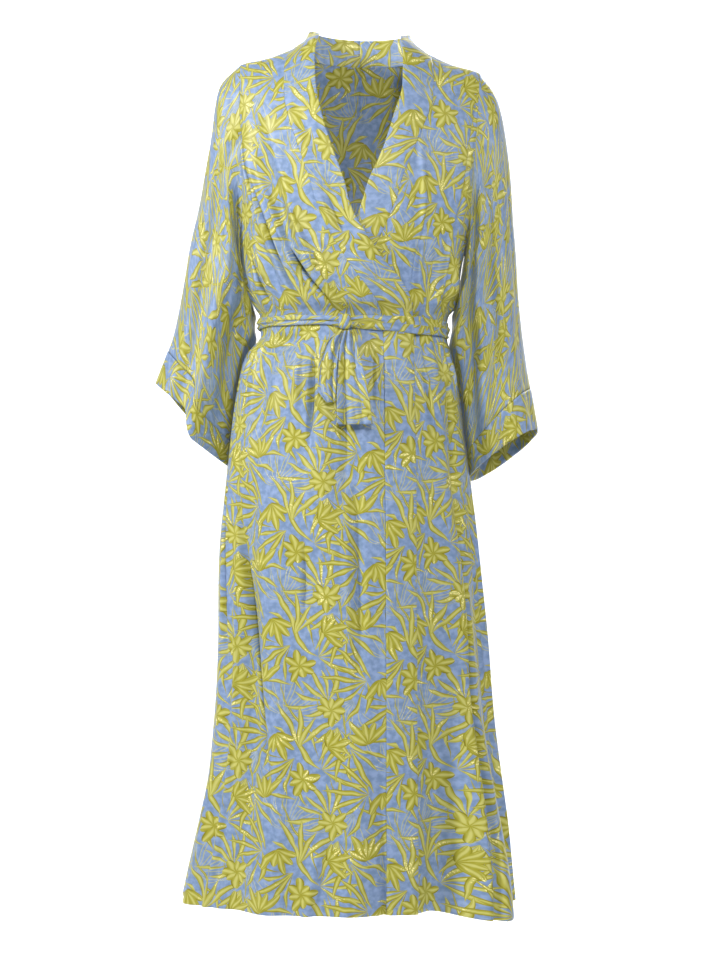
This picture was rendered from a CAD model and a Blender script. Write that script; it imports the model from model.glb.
"""A long wrap robe of kimono cut in printed satin, as it hangs on a wearer who isn't modelled.

Sizes of the form are millimetres in the part's frame: +Z up, -Y the wearer's front, +X the wearer's
left, and the origin between the points where the shoulder seams meet the neckband. They become
metres where the meshes are made.
"""

import logging
import math
from dataclasses import dataclass
from enum import Enum
from typing import Sequence

import bpy
import numpy as np
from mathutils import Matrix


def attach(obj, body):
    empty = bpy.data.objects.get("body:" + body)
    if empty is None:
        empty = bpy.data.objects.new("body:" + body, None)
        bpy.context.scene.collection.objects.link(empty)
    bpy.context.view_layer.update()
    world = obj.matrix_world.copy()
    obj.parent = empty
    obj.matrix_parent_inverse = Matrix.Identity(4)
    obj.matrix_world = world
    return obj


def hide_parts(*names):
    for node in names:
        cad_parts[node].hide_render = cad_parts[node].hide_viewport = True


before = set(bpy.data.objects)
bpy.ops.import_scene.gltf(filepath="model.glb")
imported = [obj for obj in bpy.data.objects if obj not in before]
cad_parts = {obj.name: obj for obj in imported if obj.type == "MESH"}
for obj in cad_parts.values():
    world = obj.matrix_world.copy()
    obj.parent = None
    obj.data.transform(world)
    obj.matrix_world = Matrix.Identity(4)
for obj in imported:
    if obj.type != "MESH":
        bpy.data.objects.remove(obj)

LOG = logging.getLogger("robe")
MM = 0.001
Array = np.ndarray
Colour = tuple[float, float, float, float]
Piece = bpy.types.Object

# Heights of the body
CHEST_Z = -230.0
BELT_Z = -407.0
HEM_Z = -1257.0
UNDERARM_Z = -290.0
ROW_SCALE = 100.0
HEM_ROW = 1.0 + (CHEST_Z - HEM_Z) / ROW_SCALE

# The cut
BAND_WIDTH = 43.0
NECK_HALF = 104.0
NECK_Z = 2.5
NECK_TILT = 0.035
SHOULDER_REACH = 197.0
BACK_NECK_DEPTH = 66.0
BACK_NECK_FALL = 8.0
BAND_RISE = 28.0
BAND_SLOPE = 0.66
LEAN_SIDE = -36.0
LEAN_BACK = 7.0
OVER_LIFT = 3.4
UNDER_SINK = 2.2
SASH_WALL = 4.0
SASH_GAP = 0.7

# The dense cloth grids
CLOTH_STEP = 5.0
CLOTH_THICK = 0.6
BAND_THICK = 1.4
SASH_THICK = 0.5
TAIL_THICK = 1.2
THREAD_COLOUR = (0.42, 0.42, 0.22, 1)


class Layer(Enum):
    """Which of the cloths round the body a point is on."""

    OVER = "over"
    UNDER = "under"
    BACK = "back"


@dataclass(frozen=True)
class Section:
    """How far the body of the robe reaches each way at one height."""

    z: float
    right: float
    left: float
    front: float
    back: float


@dataclass(frozen=True)
class Level:
    """A value that the form has at one place along a line."""

    at: float
    value: float


@dataclass(frozen=True)
class FrontSeam:
    """Where the two seams between front and neckband lie at a row."""

    row: float
    right: float
    left: float


@dataclass(frozen=True)
class Fold:
    """A soft ridge (+) or trough (-) that runs down the cloth.

    run is its place at the top and bottom end, turn its place round the body in degrees, half its
    half width in degrees, and depth its height in mm at the top end, midway and at the bottom end.
    """

    run: tuple[float, float]
    turn: tuple[float, float]
    half: tuple[float, float]
    depth: tuple[float, float, float]
    over: bool = False


@dataclass(frozen=True)
class Bag:
    """A place beside the sash where loose cloth bags out, with a hollow between it and the sash.

    turn is its middle and half width in degrees, near the height where the hollow starts, far the
    height of the bag's lip, curve how much lower the lip is in the middle than at its ends, and deep
    the hollow's depth in mm.
    """

    turn: tuple[float, float]
    near: float
    far: float
    curve: float
    deep: float


@dataclass(frozen=True)
class Gather:
    """A stretch of cloth beside the sash that small gathers cross."""

    top: float
    bottom: float
    depth: float


@dataclass(frozen=True)
class Ridge:
    """A narrow ridge (+) or groove (-) that runs straight down the cloth at x, all in mm."""

    x: float
    half: float
    height: float


@dataclass(frozen=True)
class SleeveRow:
    """One station down a sleeve: its outer and inner line, its depth and how far it stands back."""

    share: float
    outer_x: float
    outer_z: float
    inner_z: float
    clear: float
    deep: float
    back: float


@dataclass(frozen=True)
class SleeveCut:
    """A sleeve's stations, folds and hem."""

    sign: int
    rows: tuple[SleeveRow, ...]
    folds: tuple[Fold, ...]
    rise: float
    step_front: tuple[float, float]
    step_back: tuple[float, float]
    front_rise: float


@dataclass(frozen=True)
class SashRow:
    """How high the sash stands at a place round the body."""

    turn: float
    z: float
    high: float


@dataclass(frozen=True)
class TailRow:
    """The middle line and half width of a hanging end, and how far it stands off the skirt."""

    z: float
    x: float
    half: float
    off: float


SHOULDERS = (
    Level(0, 0), Level(16, 7), Level(31, 13), Level(46, 17),
    Level(61, 20), Level(76, 25), Level(91, 37), Level(110, 56),
)

SECTIONS = (
    Section(-230, -181, 172, 122, 98),
    Section(-290, -178, 158, 124, 100),
    Section(-340, -172, 148, 122, 104),
    Section(-378, -158, 143, 113, 104),
    Section(-393, -150, 131, 98.5, 94.5),
    Section(-422, -149, 129, 98, 94),
    Section(-450, -168, 134, 106, 104),
    Section(-500, -183, 146, 118, 118),
    Section(-600, -197, 160, 130, 132),
    Section(-750, -210, 176, 138, 140),
    Section(-950, -214, 191, 146, 148),
    Section(-1060, -224, 202, 152, 152),
    Section(-1150, -241, 212, 158, 156),
    Section(-1257, -265, 223, 166, 160),
)

FRONT_SEAMS = (
    FrontSeam(0, -104, 104),
    FrontSeam(0.15, -111, 108),
    FrontSeam(0.34, -109, 107),
    FrontSeam(0.53, -100, 94),
    FrontSeam(0.72, -86, 77),
    FrontSeam(0.94, -68, 57),
    FrontSeam(1.4, -48, 36),
    FrontSeam(1.88, -20, 12),
    FrontSeam(2.72, 32, -40),
    FrontSeam(3.3, 34, -45),
    FrontSeam(7, 37, -47),
    FrontSeam(11.3, 38, -48),
)

SIDE_TURNS = (
    Level(0, 155), Level(0.4, 158), Level(1, 164), Level(1.3, 171), Level(1.6, 180), Level(12, 180),
)

# The large folds, which the solids have too
FOLDS = (
    Fold((-60, -392), (150, 112), (9, 8), (0, -11, 0)),
    Fold((-90, -392), (163, 124), (9, 8), (0, 9, 0)),
    Fold((-250, -393), (146, 128), (8, 7), (0, -9, 0)),
    Fold((-150, -392), (132, 104), (8, 7), (0, 7, 0), over=True),
    Fold((-240, -392), (116, 96), (7, 6), (0, 6, 0), over=True),
    Fold((-60, -330), (34, 30), (9, 12), (0, 5, 0)),
    Fold((-290, -393), (40, 44), (9, 8), (0, -7, 0)),
    Fold((-300, -393), (20, 24), (9, 8), (0, 8, 0)),
    Fold((-425, -620), (140, 136), (9, 10), (0, -9, 0)),
    Fold((-425, -1257), (160, 156), (8, 11), (0, 8, 16)),
    Fold((-480, -1257), (143, 131), (9, 9), (0, -16, -10)),
    Fold((-560, -1257), (126, 117), (10, 9), (0, 7, 10), over=True),
    Fold((-425, -760), (104, 100), (8, 9), (0, 6, 0), over=True),
    Fold((-600, -1257), (84, 88), (9, 10), (0, 4, 8), over=True),
    Fold((-425, -900), (28, 34), (9, 10), (0, -8, 0)),
    Fold((-520, -1257), (50, 56), (10, 11), (0, -10, -24)),
    Fold((-560, -1257), (34, 38), (12, 16), (0, 12, 50)),
    Fold((-600, -1257), (36, 40), (34, 34), (0, 3, 14)),
    Fold((-90, -393), (222, 236), (9, 8), (0, 9, 0)),
    Fold((-150, -393), (246, 252), (8, 7), (0, -8, 0)),
    Fold((-120, -393), (318, 304), (9, 8), (0, 9, 0)),
    Fold((-170, -393), (290, 284), (8, 7), (0, -8, 0)),
    Fold((-425, -1257), (204, 202), (9, 11), (0, 9, 18)),
    Fold((-425, -1257), (224, 226), (9, 10), (0, -10, -18)),
    Fold((-425, -1257), (250, 249), (9, 11), (0, 8, 15)),
    Fold((-470, -1257), (272, 274), (9, 11), (0, -8, -15)),
    Fold((-425, -1257), (296, 297), (9, 11), (0, 10, 17)),
    Fold((-480, -1257), (320, 319), (9, 10), (0, -9, -16)),
    Fold((-425, -1257), (342, 341), (9, 11), (0, 8, 14)),
)

# Smaller creases of the satin, which only show close to
CREASES = (
    # Right front, all drawn towards the knot
    Fold((-40, -330), (168, 138), (5, 4), (0, -6, 0)),
    Fold((-150, -390), (157, 118), (4.5, 3.5), (0, -9, -2)),
    Fold((-170, -388), (146, 111), (4, 3.2), (0, 6, 2)),
    Fold((-270, -388), (133, 101), (4, 3.2), (0, -9, -3)),
    Fold((-140, -352), (119, 84), (4, 3.2), (0, -7, 0)),
    Fold((-60, -300), (122, 92), (4.5, 3.5), (0, -5, 0)),
    Fold((-215, -390), (127, 98), (3.6, 3), (0, 6, 1)),
    Fold((-290, -392), (157, 141), (4, 3.5), (0, -7, 0)),
    Fold((-300, -392), (149, 133), (3.5, 3), (0, 5, 0)),
    # Left front
    Fold((-50, -290), (24, 32), (5, 5), (0, -5, 0)),
    Fold((-90, -392), (62, 50), (5, 5), (0, 4.5, 2)),
    Fold((-200, -392), (52, 56), (4, 4), (0, -5, 0)),
    Fold((-260, -392), (33, 36), (4, 4), (0, 6, 0)),
    Fold((-250, -392), (10, 14), (5, 5), (0, -6, 0)),
    # Under the sash and down the skirt, the right front
    Fold((-412, -800), (169, 165), (3.2, 4), (-3, -8, 0)),
    Fold((-424, -620), (108, 107), (4, 4.5), (0, -10, 0)),
    Fold((-424, -560), (117, 115), (3.5, 4), (0, 5, 0)),
    Fold((-424, -700), (92, 90), (4, 6), (0, -5, 0)),
    Fold((-424, -560), (74, 76), (3.5, 4), (0, 4, 0)),
    Fold((-700, -860), (109, 109), (2.5, 3), (0, -5, 0)),
    Fold((-560, -1010), (86, 87), (6, 7), (0, -8, 0)),
    Fold((-560, -1170), (155, 117), (4, 4.5), (0, -9, -2)),
    Fold((-590, -960), (162, 152), (3.5, 4), (0, -8, 0)),
    Fold((-700, -1257), (148, 145), (4, 5), (0, 4, 5)),
    Fold((-640, -1257), (169, 168), (4, 5), (0, -5, -6)),
    Fold((-1080, -1257), (80, 77), (3.5, 3.5), (0, -4, -5)),
    Fold((-1130, -1257), (100, 103), (5, 5), (0, 4, 5)),
    # The left front
    Fold((-424, -620), (46, 44), (4, 5), (0, 6, 0)),
    Fold((-424, -700), (24, 30), (3.5, 4), (0, -9, 0)),
    Fold((-424, -520), (15, 16), (4, 5), (0, 5, 0)),
    Fold((-560, -1257), (28, 41), (3.6, 4), (0, -12, -9)),
    Fold((-620, -1100), (18, 20), (4, 5), (0, -5, 0)),
    Fold((-560, -1257), (10, 12), (5, 6), (0, 5, 9)),
    # The back
    Fold((-40, -330), (206, 214), (5, 5), (0, -5, 0)),
    Fold((-100, -392), (262, 266), (4, 4), (0, 5, 0)),
    Fold((-60, -360), (334, 328), (5, 5), (0, -6, 0)),
    Fold((-160, -392), (278, 275), (4, 4), (0, -6, 0)),
    Fold((-424, -640), (236, 238), (4, 5), (0, 6, 0)),
    Fold((-424, -560), (262, 262), (4, 4), (0, -7, 0)),
    Fold((-424, -700), (284, 285), (4, 5), (0, 6, 0)),
    Fold((-424, -600), (308, 308), (4, 5), (0, -7, 0)),
    Fold((-600, -1180), (334, 346), (4, 4.5), (0, -8, -2)),
    Fold((-640, -1140), (212, 236), (4, 4.5), (0, -8, -2)),
)

CREASE_GAIN = 1.5
CREASE_WIDTH = 0.62

# Places where the cloth bags over or under the sash and hides a small hollow
BAGS = (
    Bag((131, 11), -420, -448, 7, 10),
    Bag((22, 12), -392, -368, -6, 7),
    Bag((200, 14), -392, -366, 4, 6),
    Bag((322, 15), -392, -368, -4, 6),
)

GATHERS = (Gather(-300, -393, 4.0), Gather(-424, -520, 5.0))
GATHER_WAVES = 12
GATHER_FINE_WAVES = 31
GATHER_FINE_SHARE = 0.45
DRIFT = 1.3

# The short tuck at the middle of the back's neck
TUCK = (Ridge(1.2, 1.3, 2.4), Ridge(-2.0, 2.6, -2.0))
TUCK_RUN = (-92.0, -70.0, 5.0)

HEM_DROPS = (
    Level(0, 0), Level(20, 4), Level(38, 9), Level(62, -1), Level(85, -2), Level(110, -1), Level(360, 0),
)

# How much wider the flat cloth is than the body at each height, where the sash gathers it
FULLNESS = (
    Level(-1257, 1.0), Level(-640, 1.0), Level(-500, 1.06), Level(-440, 1.16), Level(-422, 1.22),
    Level(-393, 1.22), Level(-370, 1.12), Level(-320, 1.04), Level(-260, 1.0), Level(60, 1.0),
)

SLEEVE_RIGHT = SleeveCut(
    sign=-1,
    rows=(
        SleeveRow(0, -178, -20, -290, 0, 54, 0),
        SleeveRow(0.12, -211, -52, -322, 3, 52, 10),
        SleeveRow(0.3, -226, -135, -378, 3.5, 54, 20),
        SleeveRow(0.5, -245, -235, -440, 1, 58, 26),
        SleeveRow(0.75, -281, -374, -524, -1, 62, 28),
        SleeveRow(1, -327, -515, -618, -1, 64, 28),
    ),
    folds=(
        Fold((0.02, 1), (60, 66), (20, 20), (0, -11, -6)),
        Fold((0.02, 1), (92, 98), (18, 18), (0, 8, 8)),
        Fold((0, 0.96), (118, 132), (18, 18), (-6, -15, -4)),
        Fold((0.05, 1), (228, 236), (20, 20), (0, -11, -8)),
        Fold((0.05, 1), (284, 292), (22, 22), (0, 8, 6)),
        Fold((0.1, 0.9), (40, 30), (8, 8), (0, 4, 0)),
        Fold((0.15, 1), (78, 82), (7, 8), (0, -4, -2)),
        Fold((0.05, 0.8), (108, 112), (7, 7), (0, 4, 0)),
        Fold((0.1, 0.9), (146, 150), (8, 8), (0, 4, 0)),
        Fold((0.1, 0.9), (256, 262), (9, 9), (0, 4, 0)),
        Fold((0.2, 1), (320, 326), (9, 9), (0, -4, -3)),
    ),
    rise=30, step_front=(72, 102), step_back=(20, 150), front_rise=0,
)

SLEEVE_LEFT = SleeveCut(
    sign=1,
    rows=(
        SleeveRow(0, 178, -30, -290, 0, 54, 0),
        SleeveRow(0.12, 204, -62, -325, 3, 54, 10),
        SleeveRow(0.3, 223, -150, -386, 3.5, 60, 18),
        SleeveRow(0.5, 232, -262, -446, 1, 66, 22),
        SleeveRow(0.75, 243, -405, -545, 0, 72, 24),
        SleeveRow(1, 268, -563, -638, 0, 76, 22),
    ),
    folds=(
        Fold((0, 0.96), (112, 128), (18, 18), (-5, -14, -4)),
        Fold((0.1, 1), (86, 84), (18, 20), (0, -9, -8)),
        Fold((0.1, 1), (48, 50), (20, 22), (0, 5, 6)),
        Fold((0.05, 1), (232, 240), (20, 20), (0, -11, -8)),
        Fold((0.05, 1), (288, 294), (22, 22), (0, 8, 6)),
        Fold((0.08, 0.9), (100, 104), (7, 8), (0, 5, 0)),
        Fold((0.1, 0.95), (68, 66), (8, 8), (0, 4, 2)),
        Fold((0.12, 0.8), (32, 28), (7, 8), (0, -4, 0)),
        Fold((0.1, 0.9), (140, 146), (8, 8), (0, 4, 0)),
        Fold((0.1, 0.9), (262, 266), (9, 9), (0, 4, 0)),
        Fold((0.2, 1), (322, 326), (9, 9), (0, -4, -3)),
    ),
    rise=0, step_front=(72, 102), step_back=(20, 150), front_rise=13,
)
CUFF_SHARE = 0.905
SASH_CLEAR_Z = -411.0
SASH_CLEAR_REACH = 42.0
SASH_CLEAR_MORE = 7.5

SASH = (
    SashRow(0, -415, 22), SashRow(40, -412, 25), SashRow(80, -409, 21), SashRow(94, -408, 15),
    SashRow(110, -405, 14), SashRow(150, -404, 15), SashRow(180, -405, 17), SashRow(270, -409, 25),
    SashRow(360, -415, 22),
)
SASH_RISE = (38.0, 50.0)

TAIL_RIGHT = (
    TailRow(-420.9, -26.5, 3.5, 10.5), TailRow(-440, -38, 10, 10), TailRow(-470, -45, 13, 10),
    TailRow(-505, -47, 13, 8), TailRow(-526, -42, 6, 8),
)
TAIL_LEFT = (
    TailRow(-421.2, -16, 5.5, 12), TailRow(-445, -16, 12, 15), TailRow(-480, -13, 18, 15),
    TailRow(-520, -10, 23, 14), TailRow(-558, -8, 25, 13),
)


def smooth(low: float, high: float, value: Array) -> Array:
    """Ease from 0 at low to 1 at high.

    Args:
        low: where the result starts to leave 0.
        high: where it has reached 1.
        value: the places to ease at.

    Returns:
        The eased values.
    """
    t = np.clip((np.asarray(value, float) - low) / (high - low), 0.0, 1.0)
    return t * t * (3.0 - 2.0 * t)


def lerp(a: Array, b: Array, t: Array) -> Array:
    """Blend from a to b.

    Args:
        a: the value at t = 0.
        b: the value at t = 1.
        t: the share of b.

    Returns:
        The blended value.
    """
    return a + (b - a) * t


def unit(vectors: Array) -> Array:
    """Scale vectors to length 1.

    Args:
        vectors: an array whose last axis is x, y, z.

    Returns:
        The unit vectors.
    """
    return vectors / np.maximum(np.linalg.norm(vectors, axis=-1, keepdims=True), 1e-9)


def lengths(points: Array, axis: int = 0) -> Array:
    """Measure along the lines of a grid of points.

    Args:
        points: the grid, or one line of points.
        axis: the way the lines run.

    Returns:
        How far each point is from the first one of its line.
    """
    steps = np.linalg.norm(np.diff(points, axis=axis), axis=-1)
    start = np.zeros_like(np.take(steps, [0], axis=axis))
    return np.concatenate([start, np.cumsum(steps, axis=axis)], axis=axis)


class Curve:
    """A smooth curve through the rows of a table that never overshoots them."""

    def __init__(self, at: Sequence[float], values: Sequence[float]) -> None:
        """Work out the slopes that keep the curve from overshooting.

        Args:
            at: the places of the rows, in any order.
            values: the value of each row.
        """
        order = np.argsort(at)
        self.at = np.asarray(at, float)[order]
        self.values = np.asarray(values, float)[order]
        slopes = np.diff(self.values) / np.diff(self.at)
        a, b = slopes[:-1], slopes[1:]
        same = a * b > 0
        inner = np.where(same, 2 * a * b / np.where(same, a + b, 1.0), 0.0)
        self.tangents = np.concatenate([slopes[:1], inner, slopes[-1:]])

    @classmethod
    def of(cls, rows: Sequence[object], by: str, column: str) -> "Curve":
        """Make the curve of one column of a table.

        Args:
            rows: the table.
            by: the column it is read by.
            column: the column it gives.

        Returns:
            The curve.
        """
        return cls([getattr(r, by) for r in rows], [getattr(r, column) for r in rows])

    def __call__(self, where: Array) -> Array:
        """Read the curve.

        Args:
            where: the places to read it at; past its ends it stays level.

        Returns:
            The values there.
        """
        x = np.clip(np.asarray(where, float), self.at[0], self.at[-1])
        i = np.clip(np.searchsorted(self.at, x, side="right") - 1, 0, len(self.at) - 2)
        width = self.at[i + 1] - self.at[i]
        t = (x - self.at[i]) / width
        p, q = self.values[i], self.values[i + 1]
        m, n = self.tangents[i] * width, self.tangents[i + 1] * width
        start = (2 * t**3 - 3 * t**2 + 1) * p + (t**3 - 2 * t**2 + t) * m
        return start + (3 * t**2 - 2 * t**3) * q + (t**3 - t**2) * n


def fold_height(fold: Fold, share: Array, turn: Array, width: float = 1.0) -> Array:
    """Give the height of one fold.

    Args:
        fold: the fold.
        share: how far down its run each point is, from 0 to 1.
        turn: the points' places round the body in degrees.
        width: how much of its stated width the fold takes.

    Returns:
        Heights out of the cloth in mm.
    """
    middle = lerp(fold.turn[0], fold.turn[1], share)
    away = np.abs(turn - middle) / (width * lerp(fold.half[0], fold.half[1], np.clip(share, 0, 1)))
    upper = lerp(fold.depth[0], fold.depth[1], smooth(0, 0.5, share))
    lower = lerp(fold.depth[1], fold.depth[2], smooth(0.5, 1, share))
    depth = np.where(share < 0.5, upper, lower)
    inside = (share >= 0) & (share <= 1.001) & (away < 1)
    return np.where(inside, depth * (0.5 + 0.5 * np.cos(math.pi * np.minimum(away, 1))), 0.0)


def bag_height(bag: Bag, turn: Array, z: Array) -> Array:
    """Give the height of the hollow and the lip of one bag.

    Args:
        bag: the bag.
        turn: the points' places round the body in degrees.
        z: their heights.

    Returns:
        Heights out of the cloth in mm.
    """
    away = np.minimum(np.abs(turn - bag.turn[0]) / bag.turn[1], 1.0)
    beside = np.cos(away * math.pi / 2)
    lip = bag.far - bag.curve * (1 - away**2)
    along = (z - bag.near) / (lip - bag.near)
    hollow = -smooth(0, 0.45, along) * (1 - smooth(0.62, 1.0, along))
    edge = 0.45 * smooth(0.75, 1.05, along) * (1 - smooth(1.05, 2.2, along))
    return bag.deep * np.sqrt(beside) * (hollow + edge)


class RobeForm:
    """The worn form of the robe's body, which every piece of cloth is laid on."""

    def __init__(self) -> None:
        """Make the curves of all the tables."""
        self.section = {side: Curve.of(SECTIONS, "z", side) for side in ("right", "left", "front", "back")}
        self.shoulder = Curve.of(SHOULDERS, "at", "value")
        self.side = Curve.of(SIDE_TURNS, "at", "value")
        self.seam = {side: Curve.of(FRONT_SEAMS, "row", side) for side in ("right", "left")}
        self.drop = Curve.of(HEM_DROPS, "at", "value")
        self.fullness = Curve.of(FULLNESS, "at", "value")

    def shoulder_height(self, x: Array) -> Array:
        """Give the height of the shoulder seam, and of the band's free edge inside it, at x.

        Args:
            x: distances across the robe.

        Returns:
            Heights.
        """
        out = np.abs(x) - NECK_HALF
        level = NECK_Z - NECK_TILT * x
        seam = level - self.shoulder(np.maximum(out, 0))
        edge = level + np.minimum(BAND_RISE, -BAND_SLOPE * out)
        return np.where(out >= 0, seam, edge)

    def back_top(self, x: Array) -> tuple[Array, Array]:
        """Give y and z of the back's top edge: the shoulder seams and the neck between them.

        Args:
            x: distances across the robe.

        Returns:
            The two coordinates.
        """
        share = np.minimum(1, np.abs(x) / NECK_HALF)
        curve = np.sqrt(1 - share**2)
        neck = NECK_Z - NECK_TILT * x - BACK_NECK_FALL * curve
        return BACK_NECK_DEPTH * curve, np.where(curve == 0, self.shoulder_height(x), neck)

    def reach(self, row: Array) -> tuple[Array, Array, Array, Array]:
        """Give the middle, half width, front and back depth of the body at a row.

        Args:
            row: 0 to 1 from the shoulder seam to the chest, and 1 more for every ROW_SCALE mm below.

        Returns:
            The four sizes.
        """
        z = np.minimum(CHEST_Z, CHEST_Z - (row - 1) * ROW_SCALE)
        right, left, front, back = (self.section[s](z) for s in ("right", "left", "front", "back"))
        opened = np.minimum(1, row)
        return (right + left) / 2 * opened, lerp(SHOULDER_REACH, (left - right) / 2, opened), front, back

    def plain(self, turn: Array, row: Array) -> Array:
        """Give points of the cloth without its folds.

        Args:
            turn: places round the body in degrees, 0 at the wearer's left and 90 in front.
            row: rows, as in reach.

        Returns:
            Points.
        """
        turn, row = np.broadcast_arrays(np.asarray(turn, float), np.asarray(row, float))
        middle, half, front, back = self.reach(row)
        c, s = np.cos(np.radians(turn)), np.sin(np.radians(turn))
        x = middle + half * c
        low_y = -np.where(s < 0, back, front) * s
        low_z = CHEST_Z - (row - 1) * ROW_SCALE
        part = np.clip(row, 0, 1)
        bend = np.sqrt(np.clip(1 - (1 - part) ** 2, 0, 1))
        top_y, top_z = self.back_top(SHOULDER_REACH * c)
        fall = lerp(bend, np.sin(part * math.pi / 2), top_y / BACK_NECK_DEPTH)
        high_y = np.where(s < 0, lerp(top_y, low_y, fall), low_y * bend)
        high_z = np.where(s < 0, lerp(top_z, CHEST_Z, part), lerp(self.shoulder_height(x), CHEST_Z, part))
        high = row < 1
        return np.stack([x, np.where(high, high_y, low_y), np.where(high, high_z, low_z)], axis=-1)

    def gathers(self, turn: Array, z: Array) -> Array:
        """Give the height of the small gathers that the sash draws in.

        Args:
            turn: places round the body.
            z: heights.

        Returns:
            Heights out of the cloth.
        """
        clear = 1 - smooth(40, 52, turn) * (1 - smooth(122, 134, turn))
        side = np.sin(np.radians(turn)) ** 2
        total = np.zeros_like(turn)
        wave = np.cos(np.radians(turn * GATHER_WAVES))
        stray = 40 * np.sin(np.radians(turn * 7))
        fine = GATHER_FINE_SHARE * np.cos(np.radians(turn * GATHER_FINE_WAVES + stray))
        for gather in GATHERS:
            at = np.clip((z - gather.top) / (gather.bottom - gather.top), 0, 1)
            near = at if gather.top > BELT_Z else 1 - at
            swell = np.sin(math.pi * near**1.6) ** 2
            total += gather.depth * swell * (clear * side * wave + fine * (0.35 + 0.65 * clear))
        return total

    def relief(self, turn: Array, z: Array, layer: Layer) -> Array:
        """Give how far the folded cloth stands out from the plain section.

        Args:
            turn: places round the body.
            z: heights.
            layer: which cloth it is.

        Returns:
            Heights in mm.
        """
        height = self.gathers(turn, z)
        for gain, width, folds in ((1.0, 1.0, FOLDS), (CREASE_GAIN, CREASE_WIDTH, CREASES)):
            for fold in folds:
                if fold.over and layer is not Layer.OVER:
                    continue
                share = (z - fold.run[0]) / (fold.run[1] - fold.run[0])
                height = height + gain * fold_height(fold, share, turn, width)
        for bag in BAGS:
            height = height + bag_height(bag, turn, z)
        drift = np.sin(turn * 0.21 + z * 0.011) * np.sin(turn * 0.083 - z * 0.017 + 1.3)
        height = height + DRIFT * drift * (1 - smooth(18, 0, np.abs(z - BELT_Z)))
        if layer is Layer.OVER:
            height = height + OVER_LIFT * (1 - smooth(125, 168, turn))
        if layer is Layer.UNDER:
            height = height - UNDER_SINK * smooth(38, 62, turn)
        return height

    def point(self, turn: Array, row: Array, layer: Layer) -> Array:
        """Give points of the folded cloth.

        Args:
            turn: places round the body.
            row: rows, as in reach.
            layer: which cloth it is.

        Returns:
            Points.
        """
        turn, row = np.broadcast_arrays(np.asarray(turn, float), np.asarray(row, float))
        points = self.plain(turn, row)
        _, half, front, back = self.reach(row)
        c, s = np.cos(np.radians(turn)), np.sin(np.radians(turn))
        out = unit(np.stack([c / half, -s / np.where(s < 0, back, front), np.zeros_like(c)], axis=-1))
        place = (turn + 360) % 360
        height = self.relief(place, points[..., 2], layer) * smooth(0, 0.5, row)
        points = points + out * height[..., None]
        points[..., 2] -= self.drop(place) * smooth(0.75, 1, row / HEM_ROW)
        return points

    def turn_of_x(self, x: Array, row: Array) -> Array:
        """Give the front place round the body that lies at x.

        Args:
            x: distances across the robe.
            row: rows, as in reach.

        Returns:
            Turns in degrees.
        """
        middle, half, _, _ = self.reach(row)
        return np.degrees(np.arccos(np.clip((x - middle) / half, -1, 1)))

    def seam_turn(self, side: str, row: Array) -> Array:
        """Give the turn of the seam between a front and its neckband.

        Args:
            side: right or left.
            row: rows.

        Returns:
            Turns in degrees.
        """
        return self.turn_of_x(self.seam[side](row), row)


class Flattening:
    """Unrolls the plain form, so that the print lies on the cloth as on the cut pieces."""

    def __init__(self, form: RobeForm) -> None:
        """Measure the plain form across and down.

        Args:
            form: the form of the robe.
        """
        self.form = form
        self.turns = np.linspace(-10, 370, 191)
        upper = 1 - np.cos(np.linspace(0, math.pi / 2, 40))
        self.rows = np.concatenate([upper, np.linspace(1.1, HEM_ROW, 104)])
        grid = form.plain(self.turns[None, :], self.rows[:, None])
        self.across = lengths(grid, axis=1)
        down = lengths(grid)
        chest = int(np.argmin(np.abs(self.rows - 1)))
        self.down = down - down[chest]

    def _sample(self, table: Array, turn: Array, row: Array) -> Array:
        """Read a measured table between its rows and columns.

        Args:
            table: the table.
            turn: places round the body.
            row: rows.

        Returns:
            The values there.
        """
        i = np.clip(np.interp(row, self.rows, np.arange(len(self.rows))), 0, len(self.rows) - 1.001)
        j = np.clip(np.interp(turn, self.turns, np.arange(len(self.turns))), 0, len(self.turns) - 1.001)
        a, b = i.astype(int), j.astype(int)
        s, t = i - a, j - b
        top = lerp(table[a, b], table[a, b + 1], t)
        return lerp(top, lerp(table[a + 1, b], table[a + 1, b + 1], t), s)

    def uv(self, turn: Array, row: Array, middle: float) -> Array:
        """Give the place on the flat cloth, in metres.

        Args:
            turn: places round the body.
            row: rows.
            middle: the turn that the straight grain runs down.

        Returns:
            Points whose last axis is across and up the cloth.
        """
        turn, row = np.broadcast_arrays(np.asarray(turn, float), np.asarray(row, float))
        z = self.form.plain(turn, row)[..., 2]
        here = self._sample(self.across, turn, row)
        grain = self._sample(self.across, np.full_like(turn, middle), row)
        across = (grain - here) * self.form.fullness(z)
        return np.stack([across, -self._sample(self.down, turn, row)], axis=-1) * MM


@dataclass
class Weave:
    """Cloth as a grid of points with its place on the flat cloth, ready to become a mesh."""

    points: Array
    uv: Array

    def area(self) -> float:
        """Measure the cloth.

        Returns:
            Its area in square metres.
        """
        p = self.points
        a, b = p[1:, :-1] - p[:-1, :-1], p[:-1, 1:] - p[:-1, :-1]
        return float(np.linalg.norm(np.cross(a, b), axis=-1).sum()) * MM * MM


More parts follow.
